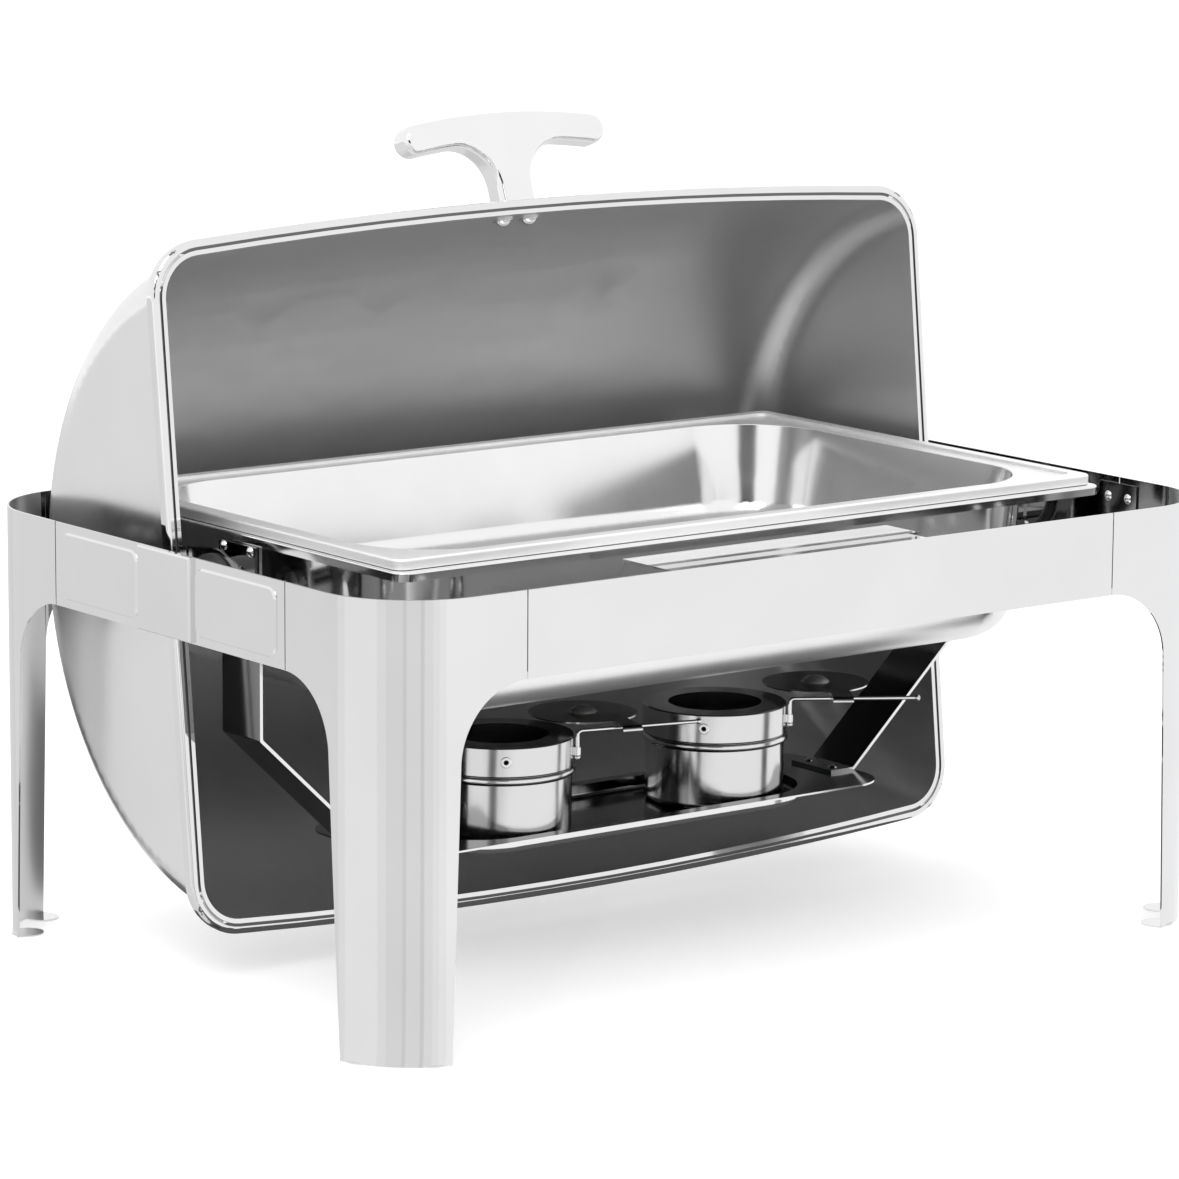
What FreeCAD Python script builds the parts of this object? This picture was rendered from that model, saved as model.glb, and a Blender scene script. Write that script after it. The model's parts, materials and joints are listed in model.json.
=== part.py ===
import FreeCAD, Part
import math
import os

# Roll-top chafing dish for one full-size gastronorm pan.
# Millimetres. +X along the long side, front at -Y, +Z up, origin on the table under the middle.

# ---- driving dimensions -------------------------------------------------------------------
FRAME_X = 320.0            # half length of the frame, outside
FRAME_Y = 222.0            # half depth of the frame, outside
FRAME_TOP = 268.5          # top edge of the frame above the table
BAND = 51.0                # height of the band between the legs
CORNER_R = 60.0            # outside corner radius of the frame in plan
SHEET = 1.2                # frame sheet thickness
SEAM_X = 222.5             # seams of the front and back panels, from the middle
SEAM_Y = 123.0             # seams of the side panels, from the middle
SEAM_GAP = 0.8
LEG_FOOT_W = 47.0          # width of a leg seen square on, at the table
LEG_TOP_W_FRONT = 52.0     # width of a leg under its cut-out, front and back
LEG_TOP_W_SIDE = 56.0      # the same on the sides
FOOT_TAB = 18.0            # how far each foot tab reaches inwards
FOOT_TAB_W = 20.0

PIVOT_Z = 238.4            # lid axis, along X through the middle of the frame
RIM_OFFSET = 31.2          # distance from the lid axis to the plane of the lid's rim
LID_END_R = 200.0          # outside radius of the lid about its axis, at its ends
LID_MID_R = 211.0          # the same at the middle: the lid is slightly barrel shaped
LID_X = 288.0              # half length of the lid, outside
LID_EDGE_R = 26.0          # radius between the barrel and the end walls
LID_SHEET = 0.8
RIM_OUT = 8.2              # how far the rim bead stands out from the lid wall
RIM_TALL = 7.0
OPEN_ANGLE = 96.1          # lid angle from closed to the stored, open position

PAN_X = 265.0              # gastronorm 1/1 pan rim, half length
PAN_Y = 162.5              # gastronorm 1/1 pan rim, half width
PAN_DEPTH = 65.0
PAN_RIM_W = 18.0
PAN_CENTRE_Y = 6.0         # both pans sit a little behind the middle, clear of the lid rest
PAN_SHEET = 0.8
RIM_SEAT_Z = 273.5         # top of the water pan's rim
PAN_RIM_H = 6.2            # height of the food pan's turned-down rim
PAN_EDGE_W = 9.0           # width of the raised edge of that rim
PAN_STEP = 2.2             # the ledge inside the raised edge lies this much lower
PAN_CORNER_R = 7.0         # outside corner radius of that rim in plan
WATER_DEPTH = 97.0
WATER_LIP = 5.5            # turned-down lip of the water pan
WATER_OUT_X = 3.0          # how far that lip stands out past the food pan at the ends
WATER_OUT_Y = 6.5          # the same at the front and back

HANGER_X = 268.5           # outer face of each hanger strap
HANGER_W = 40.0
HANGER_T = 2.0
HANGER_BEND_Z = 151.5

STUD_R = 5.0               # pivot stud through each side panel
COVER_HALF = 28.0          # half width of the cover over each stud head
COVER_RISE = 3.0
EAR_R = 28.0               # bearing plates inside the lid's end walls
EAR_TOP = 96.0
EAR_T = 2.0
HUB_R = 18.0
HUB_SHOULDER_R = 22.0
BUSH_R = 21.0
BUSH_FLANGE = 2.0
FLANGE_T = 2.5
SCREW_Y = 14.0             # screws of each hub flange, from the lid axis
SCREW_Z = 26.2

TRAY_X = 190.0
TRAY_Y = 56.0
TRAY_Z = 76.2              # top of the burner tray's flange
TRAY_T = 1.2
RECESS_X = 144.0
RECESS_Y = 47.0
RECESS_DEPTH = 8.0

CUP_R = 44.0
BAND_R = 45.6
CUP_H = 37.5
BURNER_H = 61.5
BURNER_HOLE_R = 29.5
BURNER_SHEET = 0.8
BEAD_R = 3.0               # rolled bead at the joint between cup and cap
EYE_R = 2.1
EYE_DROP = 12.0            # foot of the snuffer's eye, below the burner's top
EYE_H = 5.0
ROD_R = 1.25
ROD_LENGTH = 81.0
ROD_LIFT = 3.0             # middle of the snuffer rod, above the burner's top
DISC_R = 34.0

FIT = 0.3                  # gap between bodies that move apart
RUN = 0.05                 # radial running clearance
HANDLE_X = -16.5           # middle of the handle along the lid
HANDLE_ANGLE = 76.8        # handle position ahead of the top of the closed lid, degrees
REST_X = -22.0             # middle of the lid rest along the front panel
SNUFFER_ANGLE = -45.0      # where the snuffer's pivot stands round each burner
# each burner: name, place along X, direction of its air hole, direction of its snuffer rod
BURNERS = (("left", -78.0, 238.0, -14.6), ("right", 90.0, 223.0, -33.0))

# ---- derived ------------------------------------------------------------------------------
BAND_Z = FRAME_TOP - BAND
X = FreeCAD.Vector(1, 0, 0)
Y = FreeCAD.Vector(0, 1, 0)
Z = FreeCAD.Vector(0, 0, 1)
SIDES = (("left", -1), ("right", 1))
FLANGE_TOP = PIVOT_Z + RIM_OFFSET - FIT - SHEET
EAR_X1 = LID_X - LID_SHEET
EAR_X0 = EAR_X1 - EAR_T
PAN_PLACE = (0.0, PAN_CENTRE_Y)
BURNER_Z = TRAY_Z - RECESS_DEPTH + FIT
PIVOT_ARM = BAND_R + 2.1   # snuffer pivot, from the burner's middle
ROD_Z = BURNER_Z + BURNER_H + ROD_LIFT


def vec(x, y, z):
    return FreeCAD.Vector(x, y, z)


def box(x0, x1, y0, y1, z0, z1):
    lo = vec(min(x0, x1), min(y0, y1), min(z0, z1))
    return Part.makeBox(abs(x1 - x0), abs(y1 - y0), abs(z1 - z0), lo)


def cylinder(base, axis, radius, length):
    return Part.makeCylinder(radius, length, base, axis)


def polygon_face(points):
    return Part.Face(Part.makePolygon(list(points) + [points[0]]))


def group(solids):
    return Part.makeCompound(solids)


def joined(first, *others):
    return first.fuse(list(others)).removeSplitter()


def turned(shape, base, axis, angle):
    copy = shape.copy()
    copy.rotate(base, axis, angle)
    return copy


def moved(shape, x, y, z):
    copy = shape.copy()
    copy.translate(vec(x, y, z))
    return copy


def mirrored_x(shape):
    return shape.mirror(vec(0, 0, 0), X)


def rounded_wire(half_x, half_y, radius, z, centre=(0.0, 0.0)):
    """Closed rectangle with round corners, flat at height z."""
    cx, cy = centre
    k = radius * (1.0 - math.sqrt(0.5))
    edges = []
    corners = []
    for sx, sy in ((1, -1), (1, 1), (-1, 1), (-1, -1)):
        on_x = vec(cx + sx * half_x, cy + sy * (half_y - radius), z)
        on_y = vec(cx + sx * (half_x - radius), cy + sy * half_y, z)
        middle = vec(cx + sx * (half_x - k), cy + sy * (half_y - k), z)
        ends = (on_y, on_x) if sx * sy < 0 else (on_x, on_y)
        corners.append((ends[0], middle, ends[1]))
    for i, (start, middle, end) in enumerate(corners):
        edges.append(Part.Arc(start, middle, end).toShape())
        following = corners[(i + 1) % 4][0]
        edges.append(Part.LineSegment(end, following).toShape())
    return Part.Wire(edges)


def rounded_prism(half_x, half_y, radius, z0, z1, centre=(0.0, 0.0)):
    face = Part.Face(rounded_wire(half_x, half_y, radius, z0, centre))
    return face.extrude(vec(0, 0, z1 - z0))


def well(half_x, half_y, radius, z_top, depth, draft, bottom_r, centre):
    """Tapered round-cornered block with a rounded bottom edge, used for both faces of a pan."""
    top = rounded_wire(half_x, half_y, radius, z_top, centre)
    low = rounded_wire(half_x - draft, half_y - draft, radius - draft, z_top - depth, centre)
    block = Part.makeLoft([low, top], True, True)
    edges = [e for e in block.Edges if e.BoundBox.ZMax < z_top - depth + 0.01]
    return block.makeFillet(bottom_r, edges)


def dome_head(base, axis, radius, height):
    """Low domed fastener head standing on base along axis."""
    ball_r = (radius * radius + height * height) / (2.0 * height)
    ball = Part.makeSphere(ball_r, base + axis * (height - ball_r))
    return ball.common(cylinder(base, axis, radius, height))


def fastener(base, axis, head_r, head_h, shank_r, shank_l):
    """Domed head on base, shank running the other way."""
    head = dome_head(base, axis, head_r, head_h)
    return joined(head, cylinder(base, axis * -1.0, shank_r, shank_l))


def sheet_profile(points, thickness):
    """Closed outline of a bent sheet in XZ, from its outer line and its thickness to the left."""
    def shifted(i):
        normals = []
        for a, b in ((i - 1, i), (i, i + 1)):
            if a >= 0 and b < len(points):
                dx = points[b][0] - points[a][0]
                dz = points[b][1] - points[a][1]
                length = math.hypot(dx, dz)
                normals.append((-dz / length, dx / length))
        nx = sum(n[0] for n in normals) / len(normals)
        nz = sum(n[1] for n in normals) / len(normals)
        scale = thickness / (nx * nx + nz * nz)
        return points[i][0] + nx * scale, points[i][1] + nz * scale
    inner = [shifted(i) for i in range(len(points))]
    return [vec(x, 0, z) for x, z in list(points) + inner[::-1]]


# ---- frame --------------------------------------------------------------------------------
def frame_ring(z0, z1):
    outer = rounded_prism(FRAME_X, FRAME_Y, CORNER_R, z0, z1)
    inner = rounded_prism(FRAME_X - SHEET, FRAME_Y - SHEET, CORNER_R - SHEET, z0, z1)
    return outer.cut(inner)


def leg_window(corner, seam, top_w, foot_w):
    """Half of the opening between two legs: the side that meets one leg, seen square on."""
    edge_top = corner - top_w
    edge_foot = corner - foot_w
    radius = edge_top - seam
    k = radius * (1.0 - math.sqrt(0.5))
    start = vec(seam, 0, BAND_Z)
    end = vec(edge_top, 0, BAND_Z - radius)
    foot = vec(edge_foot, 0, -1.0)
    inside = vec(0, 0, -1.0)
    above = vec(0, 0, BAND_Z)
    edges = [
        Part.LineSegment(above, start).toShape(),
        Part.Arc(start, vec(edge_top - k, 0, BAND_Z - k), end).toShape(),
        Part.LineSegment(end, foot).toShape(),
        Part.LineSegment(foot, inside).toShape(),
        Part.LineSegment(inside, above).toShape(),
    ]
    return Part.Face(Part.Wire(edges))


def foot_tab(angle):
    """Rounded tab bent inwards at the bottom of a leg, at an angle round the corner."""
    reach = FOOT_TAB - FOOT_TAB_W / 2.0
    start = CORNER_R - SHEET / 2.0
    bar = box(start - reach, start, -FOOT_TAB_W / 2.0, FOOT_TAB_W / 2.0, 0, SHEET)
    end = cylinder(vec(start - reach, 0, 0), Z, FOOT_TAB_W / 2.0, SHEET)
    tab = joined(bar, end)
    tab = turned(tab, vec(0, 0, 0), Z, angle)
    return moved(tab, FRAME_X - CORNER_R, FRAME_Y - CORNER_R, 0)


def make_leg():
    """Leg at the +X +Y corner: bent sheet from seam to seam, with its two foot tabs."""
    half_gap = SEAM_GAP / 2.0
    ring = frame_ring(0, FRAME_TOP)
    keep = box(0, FRAME_X + 1, SEAM_Y + half_gap, FRAME_Y + 1, 0, FRAME_TOP)
    keep = keep.common(box(SEAM_X + half_gap, FRAME_X + 1, 0, FRAME_Y + 1, 0, FRAME_TOP))
    corner = keep.common(ring)
    strip_front = box(SEAM_X + half_gap, FRAME_X - CORNER_R, FRAME_Y - SHEET, FRAME_Y, 0, FRAME_TOP)
    strip_side = box(FRAME_X - SHEET, FRAME_X, SEAM_Y + half_gap, FRAME_Y - CORNER_R, 0, FRAME_TOP)
    leg = joined(corner, strip_front, strip_side)
    half_depth = FRAME_Y - CORNER_R
    front = leg_window(FRAME_X, SEAM_X, LEG_TOP_W_FRONT, LEG_FOOT_W)
    front = moved(front.extrude(vec(0, 2.0 * CORNER_R, 0)), 0, half_depth, 0)
    side = leg_window(FRAME_Y, SEAM_Y, LEG_TOP_W_SIDE, LEG_FOOT_W)
    side = turned(side, vec(0, 0, 0), Z, 90).mirror(vec(0, 0, 0), X)
    side = side.extrude(vec(2.0 * CORNER_R, 0, 0))
    side = moved(side, FRAME_X - CORNER_R, 0, 0)
    leg = leg.cut([front, side])
    end_angle = math.degrees(math.asin((CORNER_R - LEG_FOOT_W) / CORNER_R))
    tab_angle = end_angle + math.degrees(FOOT_TAB_W / 2.0 / CORNER_R)
    return joined(leg, foot_tab(tab_angle), foot_tab(90.0 - tab_angle))


def front_flange():
    """Inward flange along the top of the front panel that the closed lid lands on."""
    length = 96.0
    depth = 22.0
    return box(REST_X - length, REST_X + length, -FRAME_Y, -FRAME_Y + depth,
               FLANGE_TOP - SHEET, FLANGE_TOP)


def make_long_panel(sign):
    half = SEAM_X - SEAM_GAP / 2.0
    outer = sign * FRAME_Y
    panel = box(-half, half, outer - sign * SHEET, outer, BAND_Z, FRAME_TOP)
    if sign < 0:
        panel = joined(panel, front_flange())
    return panel


def emboss(y0, y1, z0, z1, face_x, rise):
    """Shallow pressed pad on a side panel, a round-cornered block standing on face_x."""
    radius = 7.0
    half_y = (y1 - y0) / 2.0
    half_z = (z1 - z0) / 2.0
    block = rounded_prism(half_y, half_z, radius, 0, rise)
    block = turned(block, vec(0, 0, 0), X, 90)
    block = turned(block, vec(0, 0, 0), Z, 90)
    return moved(block, face_x, (y0 + y1) / 2.0, (z0 + z1) / 2.0)


def make_side_panel():
    """Side panel on +X with two pressed pads and the hole for the pivot stud."""
    half = SEAM_Y - SEAM_GAP / 2.0
    rise = 1.4
    inner_x = FRAME_X - SHEET
    panel = box(inner_x, FRAME_X, -half, half, BAND_Z, FRAME_TOP)
    pads = ((-half + 8.0, -31.0), (31.0, half - 8.0))
    z0 = BAND_Z + 5.0
    z1 = FRAME_TOP - 5.0
    for y0, y1 in pads:
        pad = emboss(y0, y1, z0, z1, inner_x, SHEET + rise)
        edges = [e for e in pad.Edges if e.BoundBox.XMin > inner_x + SHEET + rise - 0.01]
        panel = joined(panel, pad.makeChamfer(1.2, edges))
    for y0, y1 in pads:
        recess = emboss(y0 + 1.6, y1 - 1.6, z0 + 1.6, z1 - 1.6, inner_x - 0.01, rise)
        panel = panel.cut(recess)
    return panel.cut(cylinder(vec(inner_x - 1, 0, PIVOT_Z), X, STUD_R, 10))


def make_pivot_cover():
    """Raised cover over the stud head on the +X side panel."""
    wall = 1.0
    block = box(FRAME_X, FRAME_X + COVER_RISE, -COVER_HALF, COVER_HALF, BAND_Z + 0.5, FRAME_TOP)
    edges = [e for e in block.Edges if e.BoundBox.XMin > FRAME_X + COVER_RISE - 0.01]
    block = block.makeFillet(1.6, edges)
    pocket = box(FRAME_X - 1, FRAME_X + COVER_RISE - wall, -COVER_HALF + wall + 1.0,
                 COVER_HALF - wall - 1.0, BAND_Z + 2.5, FRAME_TOP - 2.5)
    return block.cut(pocket)


def seam_places():
    """Each seam as (centre on the inner face, inward direction, direction along the panel)."""
    places = []
    for sx in (-1, 1):
        for sy in (-1, 1):
            places.append((vec(sx * SEAM_X, sy * (FRAME_Y - SHEET), 0), vec(0, -sy, 0), X))
            places.append((vec(sx * (FRAME_X - SHEET), sy * SEAM_Y, 0), vec(-sx, 0, 0), Y))
    return places


def make_splices():
    plates = []
    rivets = []
    half_w = 17.0
    z_low = BAND_Z + 4.0
    z_high = FRAME_TOP - 4.0
    for centre, inward, along in seam_places():
        a = centre - along * half_w
        b = centre + along * half_w + inward * SHEET
        plate = box(a.x, b.x, a.y, b.y, z_low, z_high)
        for side in (-1, 1):
            for z in (z_low + 9.0, z_high - 9.0):
                at = centre + along * (9.0 * side) + inward * SHEET + vec(0, 0, z)
                rivets.append(fastener(at, inward, 3.2, 1.6, 1.6, SHEET))
                plate = plate.cut(cylinder(at - inward * SHEET, inward, 1.6, SHEET))
        plates.append(plate)
    return group(plates), group(rivets)


def make_lid_rest():
    """Lid rest plate on top of the front flange, with its down-turned back edge and rivets."""
    half = 100.0
    y0 = -FRAME_Y + 14.0
    y1 = -FRAME_Y + 44.0
    top_z = FLANGE_TOP + SHEET
    top = box(REST_X - half, REST_X + half, y0, y1, FLANGE_TOP, top_z)
    back = box(REST_X - half, REST_X + half, y1 - SHEET, y1, FLANGE_TOP - 14.0, top_z)
    plate = joined(top, back)
    rivets = []
    for dx in (-75.0, 0.0, 75.0):
        at = vec(REST_X + dx, y0 + 4.0, FLANGE_TOP - SHEET)
        rivets.append(fastener(at, Z * -1.0, 3.0, 1.4, 1.5, SHEET + SHEET))
    for rivet in rivets:
        plate = plate.cut(rivet)
    return plate, group(rivets)


# ---- pivots -------------------------------------------------------------------------------
def pivot_tube(radius, x0, x1):
    return cylinder(vec(x0, 0, PIVOT_Z), X, radius, x1 - x0)


def make_pivot():
    """Fixed pieces of the +X pivot, from the panel inwards."""
    panel_x = FRAME_X - SHEET
    hub = joined(pivot_tube(HUB_SHOULDER_R, EAR_X1 + BUSH_FLANGE + FIT, panel_x),
                 pivot_tube(HUB_R, HANGER_X + FLANGE_T, panel_x))
    hub = hub.cut(pivot_tube(STUD_R, HANGER_X, FRAME_X))
    plate = box(HANGER_X, HANGER_X + FLANGE_T, -19.0, 19.0, PIVOT_Z - 30.0, FRAME_TOP - 0.8)
    boss_end = EAR_X0 - BUSH_FLANGE - FIT
    flange = joined(plate, pivot_tube(HUB_SHOULDER_R, HANGER_X, boss_end))
    flange = flange.cut(pivot_tube(HUB_R, HANGER_X + FLANGE_T, FRAME_X))
    flange = flange.cut(pivot_tube(STUD_R, HANGER_X - 1, FRAME_X))
    inner_x = HANGER_X - HANGER_T
    washer = pivot_tube(10.0, inner_x - 1.0, inner_x).cut(pivot_tube(STUD_R, 200, FRAME_X))
    nut_face = [vec(inner_x - 1.0, 8.5 * math.cos(math.radians(60 * i)),
                    PIVOT_Z + 8.5 * math.sin(math.radians(60 * i))) for i in range(6)]
    nut = polygon_face(nut_face).extrude(vec(-5.0, 0, 0)).cut(pivot_tube(STUD_R, 200, FRAME_X))
    stud = joined(pivot_tube(STUD_R, inner_x - 7.0, FRAME_X), pivot_tube(13.0, FRAME_X, FRAME_X + 1.5))
    screws = []
    for sy in (-1, 1):
        for sz in (-1, 1):
            at = vec(HANGER_X + FLANGE_T, sy * SCREW_Y, PIVOT_Z + sz * SCREW_Z)
            screws.append(fastener(at, X, 3.4, 2.0, 1.8, FLANGE_T + HANGER_T))
    for screw in screws:
        flange = flange.cut(screw)
    return {"hub": hub, "flange": flange, "washer": washer, "nut": nut, "stud": stud,
            "screws": screws}


def make_hanger(screws):
    """Strap from the +X pivot down and inwards to the burner tray."""
    foot_top = TRAY_Z + HANGER_T
    outline = [
        (TRAY_X - 20.0, TRAY_Z),
        (TRAY_X - 1.0, TRAY_Z),
        (HANGER_X, HANGER_BEND_Z),
        (HANGER_X, RIM_SEAT_Z - WATER_LIP - FIT),
    ]
    face = polygon_face(sheet_profile(outline, HANGER_T))
    strap = face.extrude(vec(0, HANGER_W, 0))
    strap = moved(strap, 0, -HANGER_W / 2.0, 0)
    corners = [e for e in strap.Edges if abs(e.BoundBox.YLength - HANGER_W) < 0.01
               and foot_top + 1.0 < e.BoundBox.ZMin < HANGER_BEND_Z + 5.0]
    strap = strap.makeFillet(2.0, corners)
    strap = strap.cut(pivot_tube(STUD_R, 200, FRAME_X))
    return strap.cut(screws)


# ---- burner tray --------------------------------------------------------------------------
def make_tray():
    floor_top = TRAY_Z - RECESS_DEPTH
    flange = rounded_prism(TRAY_X, TRAY_Y, 26.0, TRAY_Z - TRAY_T, TRAY_Z)
    press = rounded_prism(RECESS_X + TRAY_T, RECESS_Y + TRAY_T, RECESS_Y, floor_top - TRAY_T, TRAY_Z)
    low = [e for e in press.Edges if e.BoundBox.ZMax < floor_top - TRAY_T + 0.01]
    press = press.makeFillet(4.0, low)
    hollow = rounded_prism(RECESS_X, RECESS_Y, RECESS_Y - TRAY_T, floor_top, TRAY_Z + 1.0)
    low = [e for e in hollow.Edges if e.BoundBox.ZMax < floor_top + 0.01]
    hollow = hollow.makeFillet(2.8, low)
    tray = joined(flange, press).cut(hollow)
    rivets = []
    for sx in (-1, 1):
        for sy in (-1, 1):
            at = vec(sx * (TRAY_X - 12.0), sy * 12.0, TRAY_Z + HANGER_T)
            rivets.append(fastener(at, Z, 3.2, 1.6, 1.6, HANGER_T + TRAY_T))
    return tray.cut(rivets), rivets


# ---- lid ----------------------------------------------------------------------------------
def lid_form(grow):
    """Barrel about the X axis, grown outwards by grow. Built about the origin."""
    half = LID_X + grow
    end_r = LID_END_R + grow
    mid_r = LID_MID_R + grow
    arc = Part.Arc(vec(-half, 0, end_r), vec(0, 0, mid_r), vec(half, 0, end_r)).toShape()
    edges = [
        Part.LineSegment(vec(-half, 0, 0), vec(-half, 0, end_r)).toShape(),
        arc,
        Part.LineSegment(vec(half, 0, end_r), vec(half, 0, 0)).toShape(),
        Part.LineSegment(vec(half, 0, 0), vec(-half, 0, 0)).toShape(),
    ]
    body = Part.Face(Part.Wire(edges)).revolve(vec(0, 0, 0), X, 360)
    rims = [e for e in body.Edges if abs(e.BoundBox.ZLength - 2.0 * end_r) < 0.5
            and e.BoundBox.XLength < 0.01]
    return body.makeFillet(LID_EDGE_R + grow, rims)


def slab(z0, z1):
    return box(-400, 400, -300, 300, z0, z1)


def make_lid_shell():
    """Lid in its closed position about the origin: barrel shell with its rolled rim."""
    outer = lid_form(0.0)
    hollow = lid_form(-LID_SHEET)
    shell = outer.cut(hollow).common(slab(RIM_OFFSET, 300))
    bead = lid_form(RIM_OUT).common(slab(RIM_OFFSET, RIM_OFFSET + RIM_TALL))
    outline = [e for e in bead.Edges if e.BoundBox.ZMax < RIM_OFFSET + 0.01]
    bead = bead.makeFillet(2.6, outline)
    turn_back = lid_form(RIM_OUT - 1.0).common(slab(RIM_OFFSET + 1.4, RIM_OFFSET + 20.0))
    channel = lid_form(3.6).common(slab(RIM_OFFSET - 1.0, RIM_OFFSET + 0.9))
    channel = channel.cut(lid_form(1.8))
    bead = bead.cut([turn_back, hollow, channel])
    return shell.fuse(bead)


def make_ear():
    """Bearing plate inside the +X end wall of the lid, closed position about the origin."""
    tongue = box(EAR_X0, EAR_X1, -EAR_R, EAR_R, 0, EAR_TOP)
    ear = joined(tongue, cylinder(vec(EAR_X0, 0, 0), X, EAR_R, EAR_T))
    top = [e for e in ear.Edges if e.BoundBox.ZMin > EAR_TOP - 0.01 and e.BoundBox.XLength > 1.0]
    ear = ear.makeFillet(12.0, top)
    ear = ear.cut(cylinder(vec(EAR_X0, 0, 0), X, BUSH_R, EAR_T))
    rivets = []
    for y in (-16.0, 16.0):
        for z in (RIM_OFFSET + 22.0, EAR_TOP - 14.0):
            rivets.append(fastener(vec(LID_X, y, z), X, 3.6, 1.8, 2.0, LID_SHEET + EAR_T))
    return ear.cut(rivets), rivets


def make_bush():
    bore = cylinder(vec(EAR_X0 - 9, 0, 0), X, HUB_R + RUN, 30)
    tube = cylinder(vec(EAR_X0, 0, 0), X, BUSH_R, EAR_T)
    bush = joined(tube,
                  cylinder(vec(EAR_X0 - BUSH_FLANGE, 0, 0), X, BUSH_R + 4.0, BUSH_FLANGE),
                  cylinder(vec(EAR_X1, 0, 0), X, BUSH_R + 4.0, BUSH_FLANGE))
    return bush.cut(bore)


def handle_outline(foot_z):
    """T outline in the XZ plane: bowed bar on a flared stem, foot at foot_z."""
    bar_half = 78.0
    bar_r = 9.5
    bow = 5.0
    top = 66.0
    stem = 13.0
    flare_r = 26.0
    end_x = bar_half - bar_r
    bow_r = (end_x * end_x + bow * bow) / (2.0 * bow)
    centre_z = top - bow_r
    low_r = bow_r - 2.0 * bar_r
    flare_x = stem + flare_r
    flare_z = centre_z + math.sqrt((low_r - flare_r) ** 2 - flare_x ** 2)

    def on_bow(radius, x):
        return vec(x, 0, centre_z + math.sqrt(radius * radius - x * x))
    meet_x = flare_x * low_r / (low_r - flare_r)
    turn = (math.pi + math.atan2(flare_z - centre_z, flare_x)) / 2.0
    middle = vec(flare_x + flare_r * math.cos(turn), 0, flare_z + flare_r * math.sin(turn))
    tip = end_x / bow_r
    low_x = tip * low_r
    cap_x = tip * (bow_r - bar_r) + bar_r * math.sqrt(1.0 - tip * tip)
    cap_z = centre_z + math.sqrt(1.0 - tip * tip) * (bow_r - bar_r) - bar_r * tip
    right = [
        Part.Arc(on_bow(bow_r, end_x), vec(cap_x, 0, cap_z), on_bow(low_r, low_x)).toShape(),
        Part.Arc(on_bow(low_r, low_x), on_bow(low_r, (low_x + meet_x) / 2.0),
                 on_bow(low_r, meet_x)).toShape(),
        Part.Arc(on_bow(low_r, meet_x), middle, vec(stem, 0, flare_z)).toShape(),
        Part.LineSegment(vec(stem, 0, flare_z), vec(stem, 0, foot_z)).toShape(),
    ]
    left = [mirrored_x(edge) for edge in right]
    crown = Part.Arc(on_bow(bow_r, -end_x), on_bow(bow_r, 0), on_bow(bow_r, end_x)).toShape()
    foot = Part.LineSegment(vec(stem, 0, foot_z), vec(-stem, 0, foot_z)).toShape()
    return Part.Wire(Part.__sortEdges__([crown, foot] + right + left))


def lid_radius(x):
    """Outside radius of the barrel at a place along the lid."""
    rise = LID_MID_R - LID_END_R
    arc_r = (LID_X * LID_X + rise * rise) / (2.0 * rise)
    return LID_MID_R - arc_r + math.sqrt(arc_r * arc_r - x * x)


def make_handle():
    """Cast handle, washers and screws in the closed position about the origin."""
    depth = 18.0
    skin = lid_radius(HANDLE_X)
    face = Part.Face(handle_outline(-6.0))
    body = face.extrude(vec(0, depth, 0))
    body = moved(body, 0, -depth / 2.0, 0)
    soft = [e for e in body.Edges if e.BoundBox.ZMin > -5.9 and e.BoundBox.YLength < 0.01]
    body = body.makeFillet(5.0, soft)
    body = moved(body, HANDLE_X, 0, skin)
    body = body.cut(lid_form(0.0))
    washers = []
    screws = []
    for dx in (-10.0, 10.0):
        at = vec(HANDLE_X + dx, 0, skin - LID_SHEET - 1.6)
        screw = fastener(at, Z * -1.0, 5.2, 3.0, 2.0, 14.0)
        washer = cylinder(at, Z, 6.5, 1.6).cut(cylinder(at, Z, 2.0, 1.6))
        screws.append(screw)
        washers.append(washer)
    body = body.cut(screws)
    parts = {"lid_handle": body, "handle_washers": group(washers), "handle_screws": group(screws)}
    return {name: turned(shape, vec(0, 0, 0), X, HANDLE_ANGLE) for name, shape in parts.items()}


def opened(shape):
    """From the closed position about the origin to the open, stored position on the frame."""
    return moved(turned(shape, vec(0, 0, 0), X, -OPEN_ANGLE), 0, 0, PIVOT_Z)


# ---- pans ---------------------------------------------------------------------------------
def on_well_edge(edge, well_x, well_y):
    """True for the straight runs and corners round the mouth of the well."""
    limit = edge.BoundBox
    return (max(abs(limit.XMin), abs(limit.XMax)) < well_x + 1.0
            and max(abs(limit.YMin - PAN_CENTRE_Y), abs(limit.YMax - PAN_CENTRE_Y)) < well_y + 1.0)


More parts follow.
